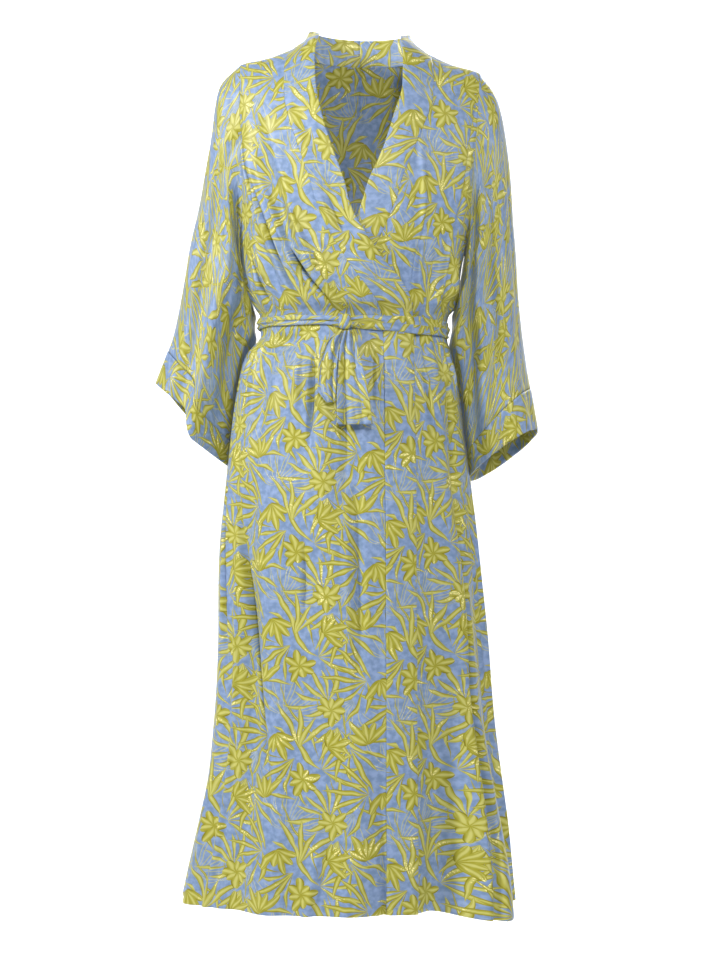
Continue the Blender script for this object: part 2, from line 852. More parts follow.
class ClothMaker:
    """Turns grids of cloth into Blender objects and hands them to the frame."""

    def __init__(self, material: bpy.types.Material) -> None:
        """Keep the cloth.

        Args:
            material: what every piece is made of.
        """
        self.material = material

    def sheet(self, name: str, weave: Weave, thickness: float, tube: bool = False) -> Piece:
        """Make one sheet of cloth with its thickness.

        Args:
            name: the object's name.
            weave: its grid, whose outside is on the side of across cross down.
            thickness: the cloth's thickness in mm, laid on its inside.
            tube: whether its first and last column are one.

        Returns:
            The object.
        """
        rows, columns = weave.points.shape[:2]
        bpy.ops.object.select_all(action="DESELECT")
        bpy.ops.mesh.primitive_grid_add(x_subdivisions=columns - 1, y_subdivisions=rows - 1, size=1.0)
        piece = bpy.context.active_object
        piece.name = name
        mesh = piece.data
        mesh.name = name
        flipped = weave.points[::-1].reshape(-1, 3) * MM
        mesh.vertices.foreach_set("co", np.ascontiguousarray(flipped, np.float32).ravel())
        corners = np.empty(len(mesh.loops), np.int32)
        mesh.loops.foreach_get("vertex_index", corners)
        places = weave.uv[::-1].reshape(-1, 2)[corners]
        mesh.uv_layers[0].name = "UVMap"
        mesh.uv_layers[0].data.foreach_set("uv", np.ascontiguousarray(places, np.float32).ravel())
        mesh.update()
        if tube:
            bpy.ops.object.mode_set(mode="EDIT")
            bpy.ops.mesh.select_all(action="SELECT")
            bpy.ops.mesh.remove_doubles(threshold=0.00002)
            bpy.ops.object.mode_set(mode="OBJECT")
        solidify = piece.modifiers.new("thickness", "SOLIDIFY")
        solidify.thickness = thickness * MM
        solidify.offset = -1.0
        solidify.use_even_offset = False
        bpy.ops.object.modifier_apply(modifier=solidify.name)
        self.finish(piece)
        return piece

    def finish(self, piece: Piece) -> None:
        """Give a piece its material, smooth shading and place in the frame.

        Args:
            piece: the object.
        """
        bpy.ops.object.select_all(action="DESELECT")
        piece.select_set(True)
        bpy.context.view_layer.objects.active = piece
        bpy.ops.object.shade_smooth()
        piece.data.materials.clear()
        piece.data.materials.append(self.material)
        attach(piece, "root")


def spaced(first: float, last: float, step: float, edge: float = 0.0) -> Array:
    """Share out a length evenly, with one more place close to each end where an edge turns in.

    Args:
        first: the start.
        last: the end.
        step: about how far apart the places are.
        edge: how far the extra places are from the ends, or 0 for none.

    Returns:
        The places.
    """
    count = max(2, int(round(abs(last - first) / step)))
    places = np.linspace(first, last, count + 1)
    if edge:
        way = math.copysign(edge, last - first)
        places = np.concatenate([places[:1], [first + way], places[1:-1], [last - way], places[-1:]])
    return places


def body_rows(step: float) -> Array:
    """Give rows from the shoulder seam to the hem about one step apart.

    Args:
        step: mm between rows.

    Returns:
        The rows.
    """
    top = 1 - np.cos(spaced(0, math.pi / 2, step / 180))
    low = spaced(1, HEM_ROW, step / ROW_SCALE)
    hem = [HEM_ROW - 2.0 / ROW_SCALE]
    return np.concatenate([top, low[1:-1], hem, low[-1:]])


def turned_edges(count: int, depth: float = 0.7) -> Array:
    """Give how far each column sinks, so that a panel's side edges roll in to their seams.

    Args:
        count: number of columns.
        depth: how far the edge itself sinks in mm.

    Returns:
        Depths for each column.
    """
    sink = np.zeros(count)
    sink[0] = sink[-1] = depth
    return sink


def grid_normals(points: Array) -> Array:
    """Give the outward normals of a grid of cloth.

    Args:
        points: rows of columns of points.

    Returns:
        Unit normals.
    """
    return unit(np.cross(np.gradient(points, axis=1), np.gradient(points, axis=0)))


class Panels:
    """The back and the two fronts."""

    FRONT_COLUMNS = 144
    BACK_COLUMNS = 172
    FRONT_GRAIN = 76.0
    BACK_GRAIN = 270.0

    def __init__(self, form: RobeForm, flat: Flattening) -> None:
        """Set out the rows of the panels.

        Args:
            form: the form of the robe.
            flat: its flattened cloth.
        """
        self.form = form
        self.flat = flat
        self.rows = body_rows(CLOTH_STEP)

    def _weave(self, turns: Array, layer: Layer, grain: float) -> Weave:
        """Lay cloth on the form between two seams.

        Args:
            turns: the place of every point round the body.
            layer: which cloth it is.
            grain: the turn that the straight grain runs down.

        Returns:
            The cloth, with its edges turned in.
        """
        rows = np.broadcast_to(self.rows[:, None], turns.shape)
        points = self.form.point(turns, rows, layer)
        sink = turned_edges(turns.shape[1])
        hem = np.where(np.arange(len(self.rows)) == len(self.rows) - 1, 0.5, 0.0)
        points = points - grid_normals(points) * (sink[None, :, None] + hem[:, None, None])
        return Weave(points, self.flat.uv(turns, rows, grain))

    def front(self, side: str) -> Weave:
        """Lay out one front.

        Args:
            side: right or left.

        Returns:
            Its cloth.
        """
        seam = self.form.seam_turn(side, self.rows)
        edge = self.form.side(self.rows)
        share = spaced(0, 1, 1 / self.FRONT_COLUMNS, 0.005)
        if side == "right":
            turns = lerp(seam[:, None], edge[:, None], share[None, :])
            return self._weave(turns, Layer.OVER, self.FRONT_GRAIN)
        turns = lerp(180 - edge[:, None], seam[:, None], share[None, :])
        return self._weave(turns, Layer.UNDER, 180.0 - self.FRONT_GRAIN)

    def back(self) -> Weave:
        """Lay out the back.

        Returns:
            Its cloth.
        """
        edge = self.form.side(self.rows)
        share = spaced(0, 1, 1 / self.BACK_COLUMNS, 0.003)
        share = np.sort(np.concatenate([share, 0.5 + np.array([-0.0036, -0.0018, 0.0018, 0.0036])]))
        turns = lerp(360 - edge[:, None], 180 + edge[:, None], share[None, :])
        weave = self._weave(turns, Layer.BACK, self.BACK_GRAIN)
        x, z = weave.points[..., 0], weave.points[..., 2]
        fade, full, top = TUCK_RUN
        folded = sum(ridge.height * np.exp(-(((x - ridge.x) / ridge.half) ** 2)) for ridge in TUCK)
        weave.points[..., 1] += smooth(fade, full, z) * (z < top) * folded
        return weave

    def armhole(self, side: str, count: int) -> Array:
        """Trace the armhole, from the shoulder down its front edge and up its back edge.

        Args:
            side: right or left.
            count: points on each half.

        Returns:
            The points.
        """
        low = 1 + (CHEST_Z - UNDERARM_Z) / ROW_SCALE
        dense = 1 - np.cos(np.linspace(0, math.pi / 2, 60))
        rows = np.concatenate([dense, np.linspace(1, low, 30)[1:]])
        turn = self.form.side(rows)
        layer = Layer.OVER if side == "right" else Layer.UNDER
        front = self.form.point(turn if side == "right" else 180 - turn, rows, layer)
        back = self.form.point(360 - turn if side == "right" else 180 + turn, rows, Layer.BACK)
        return np.concatenate([self._even(front, count), self._even(back, count)[::-1][1:-1]])

    @staticmethod
    def _even(points: Array, count: int) -> Array:
        """Space points evenly along a line.

        Args:
            points: the line.
            count: how many points there will be.

        Returns:
            The points.
        """
        length = lengths(points)
        places = np.linspace(0, length[-1], count)
        return np.stack([np.interp(places, length, points[:, k]) for k in range(3)], axis=-1)


class Neckband:
    """One half of the neckband, from the middle of the back round the neck and down to the hem."""

    COLUMNS = 11
    AHEAD = 0.05
    TOP_SLOPE = 0.3

    def __init__(self, form: RobeForm) -> None:
        """Keep the form.

        Args:
            form: the form of the robe.
        """
        self.form = form

    def standing(self, sign: int) -> tuple[Array, Array]:
        """Give the seam and the free edge where the band stands up round the back of the neck.

        Args:
            sign: -1 for the right half and 1 for the left one.

        Returns:
            The two lines of points.
        """
        neck = math.degrees(math.acos(NECK_HALF / SHOULDER_REACH))
        turns = 270 + sign * np.linspace(0, 90 - neck, 30)[:-1]
        base = self.form.plain(turns, np.zeros_like(turns))
        share = base[:, 1] / BACK_NECK_DEPTH
        lean = lerp(LEAN_SIDE, LEAN_BACK, share**0.7)
        flat = unit(np.stack([base[:, 0] * 1.1, base[:, 1] * 1.4, np.zeros_like(lean)], axis=-1))
        free = base + flat * lean[:, None]
        free[:, 1] += 8 * (1 - share)
        free[:, 2] += np.sqrt(BAND_WIDTH**2 - lean**2)
        return base, free

    def weave(self, side: str) -> Weave:
        """Lay out one half of the band.

        Args:
            side: right or left.

        Returns:
            Its cloth.
        """
        sign = -1 if side == "right" else 1
        across = np.concatenate([[0, 0.03], np.linspace(0.12, 0.88, self.COLUMNS - 4), [0.97, 1]])
        base, free = self.standing(sign)
        high = lerp(base[:, None], free[:, None], across[None, :, None])
        rows = body_rows(CLOTH_STEP)
        x = self.form.seam[side](rows)
        ahead = self.form.seam[side](np.minimum(HEM_ROW, rows + self.AHEAD))
        slope = (ahead - x) / (ROW_SCALE * self.AHEAD)
        at_chest = float(np.interp(1.0, rows, slope))
        slope = np.where(rows < 1, lerp(self.TOP_SLOPE, at_chest, smooth(0.5, 1, rows)), slope)
        wide = -sign * BAND_WIDTH * np.sqrt(1 + slope**2)
        turns = self.form.turn_of_x(x[:, None] + wide[:, None] * across[None, :], rows[:, None])
        layer = Layer.OVER if side == "right" else Layer.UNDER
        low = self.form.point(turns, np.broadcast_to(rows[:, None], turns.shape), layer)
        low[:, :, 1] += 9 * across[None, :] * (1 - smooth(0, 0.02, rows))[:, None]
        points = np.concatenate([high, low])
        self._ease(points, len(high))
        normals = grid_normals(points) * (1 if side == "left" else -1)
        puff = 0.5 * np.sin(math.pi * across) - np.where((across == 0) | (across == 1), 0.5, 0.0)
        points = points + normals * puff[None, :, None]
        run = lengths(points[:, 4])
        flat = np.broadcast_arrays(across[None, :] * BAND_WIDTH * -sign, -run[:, None])
        uv = np.stack(flat, axis=-1) * MM + np.array([0.31 * sign, 0.07])
        if side == "right":
            points, uv = points[:, ::-1], uv[:, ::-1]
        return Weave(points, uv)

    @staticmethod
    def _ease(points: Array, bend: int) -> None:
        """Round off the bend where the band turns from the neck down the front.

        Args:
            points: the grid of the band, changed in place.
            bend: the row of the bend.
        """
        first, last = bend - 12, bend + 12
        for _ in range(25):
            part = points[first - 1 : last + 1]
            points[first:last, 1:] = (part[:-2, 1:] + 2 * part[1:-1, 1:] + part[2:, 1:]) / 4


class Sleeve:
    """A sleeve with its cuff."""

    HALF_COUNT = 70
    RINGS = 120
    CUFF_RINGS = 14
    NEAR_ZERO = 1e-6
    KEEP_OUT = 0.9
    PRINT_RUN = 480.0
    PRINT_START = 0.13

    def __init__(self, form: RobeForm, cut: SleeveCut, armhole: Array) -> None:
        """Make the curves of one sleeve.

        Args:
            form: the form of the robe.
            cut: the cut of the sleeve.
            armhole: the points of the armhole that it is sewn to.
        """
        self.form = form
        self.cut = cut
        names = [name for name in SleeveRow.__annotations__ if name != "share"]
        self.line = {name: Curve.of(cut.rows, "share", name) for name in names}
        self.armhole = np.concatenate([armhole, armhole[:1]])
        self.turns = np.linspace(0, 360, len(self.armhole))

    def inner_x(self, z: Array, clear: Array) -> Array:
        """Give where the inner line of the sleeve runs, outside the side of the robe.

        Args:
            z: heights.
            clear: how far it keeps out.

        Returns:
            Distances across the robe.
        """
        side = self.form.section["right" if self.cut.sign < 0 else "left"](z)
        beside = 1 - smooth(0, SASH_CLEAR_REACH, np.abs(z - SASH_CLEAR_Z))
        return side + self.cut.sign * (clear + SASH_CLEAR_MORE * beside)

    def surface(self, turn: Array, share: Array) -> Array:
        """Give points of the sleeve's oval, before it is eased to the armhole.

        Args:
            turn: places round it, 0 on the outer line, 90 in front and 180 on the inner line.
            share: how far down it they are.

        Returns:
            Points.
        """
        turn, share = np.broadcast_arrays(np.asarray(turn, float), np.asarray(share, float))
        at = {name: curve(share) for name, curve in self.line.items()}
        zero = np.zeros_like(share)
        outer = np.stack([at["outer_x"], zero, at["outer_z"]], axis=-1)
        inner = np.stack([self.inner_x(at["inner_z"], at["clear"]), zero, at["inner_z"]], axis=-1)
        half = np.linalg.norm(outer - inner, axis=-1) / 2
        across = unit(outer - inner)
        c, s = np.cos(np.radians(turn)), np.sin(np.radians(turn))
        points = (outer + inner) / 2 + across * (half * c)[..., None]
        points[..., 1] += at["back"] - at["deep"] * s
        out = across * (c / half)[..., None]
        out[..., 1] -= s / at["deep"]
        place = turn % 360
        height = zero.copy()
        for fold in self.cut.folds:
            height += fold_height(fold, (share - fold.run[0]) / (fold.run[1] - fold.run[0]), place)
        height += 0.9 * np.sin(place * 0.16 + share * 19) * np.sin(place * 0.05 - share * 13)
        points = points + unit(out) * (height * smooth(0, 0.12, share))[..., None]
        up = np.stack([-across[..., 2], zero, across[..., 0]], axis=-1) * self.cut.sign
        behind = smooth(*self.cut.step_back, 360 - place)
        free = np.where(s < -self.NEAR_ZERO, behind, smooth(*self.cut.step_front, place))
        caught = self.cut.rise * (1 - free) + self.cut.front_rise * s
        return points + up * (caught * smooth(0.55, 1, share))[..., None]

    def weave(self, first: float, last: float, steps: int, seat: float = 0.0) -> Weave:
        """Lay out a length of the sleeve.

        Args:
            first: the share that it starts at.
            last: the share that it ends at.
            steps: number of rings after the first.
            seat: how far inside the sleeve's surface it lies, in mm.

        Returns:
            Its cloth.
        """
        shares = np.linspace(first, last, steps + 1)
        start = self.surface(self.turns, np.zeros_like(self.turns))
        shift = self.armhole - start
        rings = self.surface(self.turns[None, :], shares[:, None])
        rings = rings + shift[None] * (1 - smooth(0, 0.3, shares))[:, None, None]
        around, run = lengths(rings, axis=1), lengths(rings)
        uv = np.stack([around * self.cut.sign, -run - first * self.PRINT_RUN], axis=-1) * MM
        uv = uv + np.array([self.PRINT_START * self.cut.sign, 0])
        if self.cut.sign < 0:
            rings, uv = rings[:, ::-1], uv[:, ::-1]
        # Below the underarm the sleeve's first ring keeps just outside the body
        if first == 0.0:
            low = smooth(CHEST_Z + 5, UNDERARM_Z + 5, rings[0, :, 2])
            rings[0, :, 0] += self.cut.sign * self.KEEP_OUT * low
        if seat:
            rings = rings - grid_normals(rings) * seat
        return Weave(rings, uv)


class Sash:
    """The sash round the waist, its knot and its two hanging ends."""

    STEPS = 280
    CORNERS = 44
    RADIUS = 125.0
    GIRTH = 62.0
    TAIL_ROWS = 46
    TAIL_COLUMNS = 25

    def __init__(self, form: RobeForm) -> None:
        """Keep the form.

        Args:
            form: the form of the robe.
        """
        self.form = form

    def ring(self) -> Weave:
        """Lay out the crumpled strip round the waist.

        Returns:
            A closed tube whose rows run round the body.
        """
        turn = np.linspace(0, 360, self.STEPS + 1)
        z = Curve.of(SASH, "turn", "z")(turn)
        high = Curve.of(SASH, "turn", "high")(turn)
        row = 1 + (CHEST_Z - z) / ROW_SCALE
        centre = self.form.plain(turn, row)
        _, half, front, back = self.form.reach(row)
        c, s = np.cos(np.radians(turn)), np.sin(np.radians(turn))
        out = unit(np.stack([c / half, -s / np.where(s < 0, back, front), np.zeros_like(c)], axis=-1))
        lapped = smooth(*SASH_RISE, turn) * (1 - smooth(125, 168, turn))
        centre = centre + out * (SASH_WALL / 2 + SASH_GAP + OVER_LIFT * lapped)[:, None]
        a = np.linspace(0, 2 * math.pi, self.CORNERS + 1)
        level = np.sin(a)[None, :]
        wander = (1.2 * np.sin(np.radians(turn * 3)) + 0.8 * np.sin(np.radians(turn * 7 + 50)))[:, None]
        ridges = 1.5 * np.sin(level * 5.6 + wander) + 0.6 * np.sin(level * 11 - 2 * wander)
        thick = (SASH_WALL / 2 + np.maximum(np.cos(a), 0)[None, :] * ridges) * np.cos(a)[None, :]
        points = centre[:, None] + out[:, None] * thick[..., None]
        points[..., 2] += (high / 2)[:, None] * level * (1 + 0.05 * np.sin(np.radians(turn * 9)))[:, None]
        points[-1] = points[0]
        run = np.radians(turn) * self.RADIUS
        girth = a / (2 * math.pi) * self.GIRTH
        uv = np.stack(np.broadcast_arrays(run[:, None], girth[None, :]), axis=-1) * MM
        return Weave(points[:, ::-1], uv[:, ::-1] + np.array([0.05, 0.6]))

    def tail(self, rows: Sequence[TailRow], waves: float) -> Weave:
        """Lay out one hanging end.

        Args:
            rows: its middle line.
            waves: half waves of the soft folds across it.

        Returns:
            Its cloth.
        """
        z = np.linspace(rows[0].z, rows[-1].z, self.TAIL_ROWS)[:, None]
        across = np.linspace(-1, 1, self.TAIL_COLUMNS)[None, :]
        x, half, off = (Curve.of(rows, "z", name)(z) for name in ("x", "half", "off"))
        row = 1 + (CHEST_Z - z) / ROW_SCALE
        turn = self.form.turn_of_x(x + half * across, row)
        row = np.broadcast_to(row, turn.shape)
        base = self.form.point(turn, row, Layer.OVER)
        tight = 1 - smooth(rows[0].z - 10, rows[0].z - 80, z)
        ripple = (1.8 + tight) * np.cos(math.pi * across * waves + 0.6 * (1 - tight))
        ripple = ripple + 0.8 * np.cos(math.pi * across * waves * 2.3 + z * 0.03)
        points = base.copy()
        points[..., 1] -= off + ripple
        uv = np.stack(np.broadcast_arrays(across * 25, z), axis=-1) * MM + np.array([0.02 * waves, 0.2])
        return Weave(points[:, ::-1], uv[:, ::-1])


class Knot:
    """The tied knot of the sash: a soft lump with the band's folds wrapped over it."""

    TURN = 95.0
    Z = -409.0
    AHEAD = 13.6
    HALF = (9.8, 7.6, 11.4)
    BACK_REACH = 5.0
    FULL = 0.6
    SEGMENTS = 56
    RINGS = 40
    PRINT_START = (0.06, 0.08)

    def __init__(self, form: RobeForm) -> None:
        """Find the place of the knot.

        Args:
            form: the form of the robe.
        """
        row = 1 + (CHEST_Z - self.Z) / ROW_SCALE
        self.centre = form.plain(np.array(self.TURN), np.array(row)) + np.array([0, -self.AHEAD, 0])

    def build(self, maker: ClothMaker) -> Piece:
        """Make the knot.

        Args:
            maker: finishes the piece.

        Returns:
            The object.
        """
        bpy.ops.object.select_all(action="DESELECT")
        bpy.ops.mesh.primitive_uv_sphere_add(segments=self.SEGMENTS, ring_count=self.RINGS, radius=1.0)
        piece = bpy.context.active_object
        piece.name = "robe_sash_knot"
        mesh = piece.data
        places = np.empty(len(mesh.vertices) * 3, np.float32)
        mesh.vertices.foreach_get("co", places)
        p = places.reshape(-1, 3).astype(float)
        girth = np.maximum(np.hypot(p[:, 0], p[:, 1]), 1e-6)
        full = girth ** self.FULL / girth
        slant = p[:, 2] * 4.2 + p[:, 0] * 2.0
        ridge = 1 + 0.07 * np.sin(slant * 1.7) + 0.05 * np.sin(p[:, 0] * 7 - p[:, 2] * 3)
        pinch = 1 - 0.16 * np.exp(-(((p[:, 2] + 0.15) / 0.22) ** 2))
        shaped = np.stack(
            [
                self.HALF[0] * p[:, 0] * full * ridge * pinch,
                np.minimum(self.BACK_REACH, self.HALF[1] * p[:, 1] * full * ridge),
                self.HALF[2] * p[:, 2] * (1 + 0.03 * np.sin(p[:, 0] * 5)),
            ],
            axis=-1,
        )
        co = (shaped + self.centre) * MM
        mesh.vertices.foreach_set("co", np.ascontiguousarray(co, np.float32).ravel())
        corners = np.empty(len(mesh.loops), np.int32)
        mesh.loops.foreach_get("vertex_index", corners)
        flat = shaped[:, [0, 2]] * MM + np.array(self.PRINT_START)
        mesh.uv_layers[0].name = "UVMap"
        mesh.uv_layers[0].data.foreach_set("uv", np.ascontiguousarray(flat[corners], np.float32).ravel())
        mesh.update()
        maker.finish(piece)
        return piece


class Stitching:
    """Rows of machine stitches, each a short raised length of thread."""

    LENGTH = 2.6
    PITCH = 3.6
    RADIUS = 0.22
    PROUD = 0.12
    HEM_UP = 17.0
    HEM_POINTS = 400

    def __init__(self, material: bpy.types.Material) -> None:
        """Keep the thread.

        Args:
            material: what the thread is made of.
        """
        self.material = material

    def row(self, name: str, path: Array, outward: Array) -> Piece:
        """Sew one row along a line.

        Args:
            name: the object's name.
            path: the line's points, on the cloth's outside.
            outward: the cloth's normals there.

        Returns:
            The stitches as one mesh.
        """
        length = lengths(path)
        raised = path + outward * self.PROUD
        starts = np.arange(self.PITCH, length[-1] - self.PITCH, self.PITCH)
        data = bpy.data.curves.new(name, "CURVE")
        data.dimensions = "3D"
        data.bevel_depth = self.RADIUS * MM
        data.bevel_resolution = 0
        data.use_fill_caps = True
        for start in starts:
            spline = data.splines.new("POLY")
            spline.points.add(1)
            for point, place in zip(spline.points, (start, start + self.LENGTH)):
                x, y, z = (float(np.interp(place, length, raised[:, k])) * MM for k in range(3))
                point.co = (x, y, z, 1.0)
        piece = bpy.data.objects.new(name, data)
        bpy.context.collection.objects.link(piece)
        bpy.ops.object.select_all(action="DESELECT")
        piece.select_set(True)
        bpy.context.view_layer.objects.active = piece
        bpy.ops.object.convert(target="MESH")
        piece = bpy.context.active_object
        piece.data.materials.clear()
        piece.data.materials.append(self.material)
        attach(piece, "root")
        return piece


Number = "Value | float"


class Value:
    """A number flowing through a material, with ordinary arithmetic."""

    def __init__(self, shader: "Shader", socket: bpy.types.NodeSocket) -> None:
        """Wrap a socket.

        Args:
            shader: the material it is in.
            socket: the output that gives the number.
        """
        self.shader = shader
        self.socket = socket

    def __add__(self, other: Number) -> "Value":
        """Add."""
        return self.shader.maths("ADD", self, other)

    def __radd__(self, other: Number) -> "Value":
        """Add to a plain number."""
        return self.shader.maths("ADD", other, self)

    def __sub__(self, other: Number) -> "Value":
        """Subtract."""
        return self.shader.maths("SUBTRACT", self, other)

    def __rsub__(self, other: Number) -> "Value":
        """Subtract from a plain number."""
        return self.shader.maths("SUBTRACT", other, self)

    def __mul__(self, other: Number) -> "Value":
        """Multiply."""
        return self.shader.maths("MULTIPLY", self, other)

    def __truediv__(self, other: Number) -> "Value":
        """Divide."""
        return self.shader.maths("DIVIDE", self, other)


class Shader:
    """Builds one material's nodes."""

    def __init__(self, name: str) -> None:
        """Start an empty material.

        Args:
            name: its name.
        """
        self.material = bpy.data.materials.new(name)
        self.material.use_nodes = True
        self.tree = self.material.node_tree
        self.tree.nodes.clear()

    def node(self, kind: str, inputs: dict, output: object = 0, **settings: object) -> Value:
        """Add a node.

        Args:
            kind: its type.
            inputs: what each input takes: a Value, or a constant.
            output: the output wanted.
            settings: its other properties.

        Returns:
            The output.
        """
        made = self.tree.nodes.new(kind)
        for key, setting in settings.items():
            setattr(made, key, setting)
        for key, given in inputs.items():
            if isinstance(given, Value):
                self.tree.links.new(given.socket, made.inputs[key])
            else:
                made.inputs[key].default_value = given
        return Value(self, made.outputs[output])

    def finish(self, surface: Value) -> bpy.types.Material:
        """Join the surface to the material's output.

        Args:
            surface: the finished surface.

        Returns:
            The material.
        """
        end = self.tree.nodes.new("ShaderNodeOutputMaterial")
        self.tree.links.new(surface.socket, end.inputs["Surface"])
        return self.material

    def maths(self, operation: str, *terms: Number, clamped: bool = False) -> Value:
        """Add a Math node.

        Args:
            operation: what it does.
            terms: what it works on.
            clamped: whether the result is held between 0 and 1.

        Returns:
            The result.
        """
        return self.node("ShaderNodeMath", dict(enumerate(terms)), operation=operation, use_clamp=clamped)

    def ease(self, low: float, high: float, value: Value) -> Value:
        """Ease from 0 at low to 1 at high.

        Args:
            low: where it leaves 0.
            high: where it reaches 1.
            value: what is eased.

        Returns:
            The result.
        """
        return self.node(
            "ShaderNodeMapRange",
            {"Value": value, "From Min": low, "From Max": high, "To Min": 0.0, "To Max": 1.0},
            interpolation_type="SMOOTHSTEP",
        )

    def blend(self, factor: Number, a: object, b: object) -> Value:
        """Mix two colours.

        Args:
            factor: the share of b.
            a: the first colour, a Value or a constant.
            b: the second colour.

        Returns:
            The mixed colour.
        """
        return self.node("ShaderNodeMix", {0: factor, 6: a, 7: b}, output=2, data_type="RGBA")

    def parts(self, vector: Value) -> tuple[Value, Value]:
        """Split a vector.

        Args:
            vector: the vector.

        Returns:
            Its x and y.
        """
        split = self.tree.nodes.new("ShaderNodeSeparateXYZ")
        self.tree.links.new(vector.socket, split.inputs[0])
        return Value(self, split.outputs[0]), Value(self, split.outputs[1])

    def noise(self, place: Value, scale: float, detail: float = 2.0) -> Value:
        """Add cloudy noise.

        Args:
            place: where it is read.
            scale: how fine it is.
            detail: how many finer layers it has.

        Returns:
            Numbers about 0.5.
        """
        return self.node("ShaderNodeTexNoise", {"Vector": place, "Scale": scale, "Detail": detail})


class MotifKind(Enum):
    """The forms of the print."""

    LEAVES = "leaves"
    GHOST = "ghost"
    FLOWER = "flower"


@dataclass(frozen=True)
class Motif:
    """One form in the print's repeat, in metres and degrees.

    shift moves its repeat cell, root is where its leaves or petals meet within the cell, and angle is
    the way the middle one points. There are count more to each side of that one, spread apart. full
    is below 1 for blunt petals, bend curves each one more than the last, and lines is how closely
    they are engraved.
    """

    kind: MotifKind
    shift: tuple[float, float]
    root: tuple[float, float]
    angle: float
    length: float
    width: float
    count: int
    spread: float
    bend: float = 0.0
    full: float = 1.0
    lines: float = 6.0
    tone: float = 0.5


@dataclass(frozen=True)
class PrintDesign:
    """The printed design: its repeat in metres and its colours in linear light."""

    wide: float = 0.150
    high: float = 0.163
    drop: float = 0.5
    ground_dark: Colour = (0.165, 0.255, 0.43, 1)
    ground_light: Colour = (0.27, 0.37, 0.60, 1)
    gold_line: Colour = (0.21, 0.185, 0.005, 1)
    gold_mid: Colour = (0.35, 0.325, 0.022, 1)
    gold_light: Colour = (0.56, 0.54, 0.15, 1)
    gold_bright: Colour = (0.95, 0.87, 0.36, 1)


LEAVES, GHOST, FLOWER = MotifKind.LEAVES, MotifKind.GHOST, MotifKind.FLOWER
MOTIFS = (
    Motif(GHOST, (0.060, 0.083), (-0.010, -0.02), 70, 0.060, 0.0030, 4, 19, bend=0.10, tone=0.8),
    Motif(GHOST, (0.135, 0.020), (0.012, 0.02), 250, 0.058, 0.0030, 4, 21, bend=-0.12, tone=0.8),
    Motif(LEAVES, (0.012, 0.104), (0.030, -0.05), 118, 0.118, 0.0019, 1, 15, bend=0.5, tone=0.36),
    Motif(LEAVES, (0.000, 0.000), (-0.020, -0.02), 52, 0.060, 0.0043, 3, 23, bend=0.20, tone=0.50),
    Motif(LEAVES, (0.077, 0.026), (0.018, 0.022), 236, 0.058, 0.0041, 3, 24, bend=-0.22, tone=0.42),
    Motif(LEAVES, (0.030, 0.066), (0.022, -0.018), 142, 0.054, 0.0043, 3, 22, bend=0.18, tone=0.54),
    Motif(LEAVES, (0.108, 0.092), (-0.02, 0.025), 318, 0.060, 0.0041, 3, 23, bend=0.22, tone=0.46),
    Motif(LEAVES, (0.052, 0.123), (0.0, -0.03), 88, 0.062, 0.0046, 2, 26, bend=-0.20, tone=0.52),
    Motif(LEAVES, (0.126, 0.146), (0.022, 0.01), 198, 0.056, 0.0042, 3, 22, bend=0.16, tone=0.43),
    Motif(LEAVES, (0.146, 0.058), (0.0, 0.02), 268, 0.050, 0.0042, 2, 26, bend=-0.18, tone=0.55),
    Motif(FLOWER, (0.046, 0.034), (0.0, 0.0), 15, 0.0215, 0.0068, 4, 45, full=0.45, lines=6, tone=0.44),
    Motif(LEAVES, (0.104, 0.048), (0.0, -0.014), 100, 0.0330, 0.0058, 2, 27, full=0.5, lines=7, tone=0.48),
    Motif(FLOWER, (0.004, 0.096), (0.0, 0.0), 40, 0.0200, 0.0066, 4, 45, full=0.45, lines=6, tone=0.50),
    Motif(LEAVES, (0.084, 0.146), (0.0, 0.014), 290, 0.0340, 0.0062, 2, 26, full=0.5, lines=7, tone=0.44),
    Motif(LEAVES, (0.020, 0.150), (0.010, 0.0), 20, 0.0300, 0.0058, 2, 30, full=0.5, lines=7, tone=0.46),
)


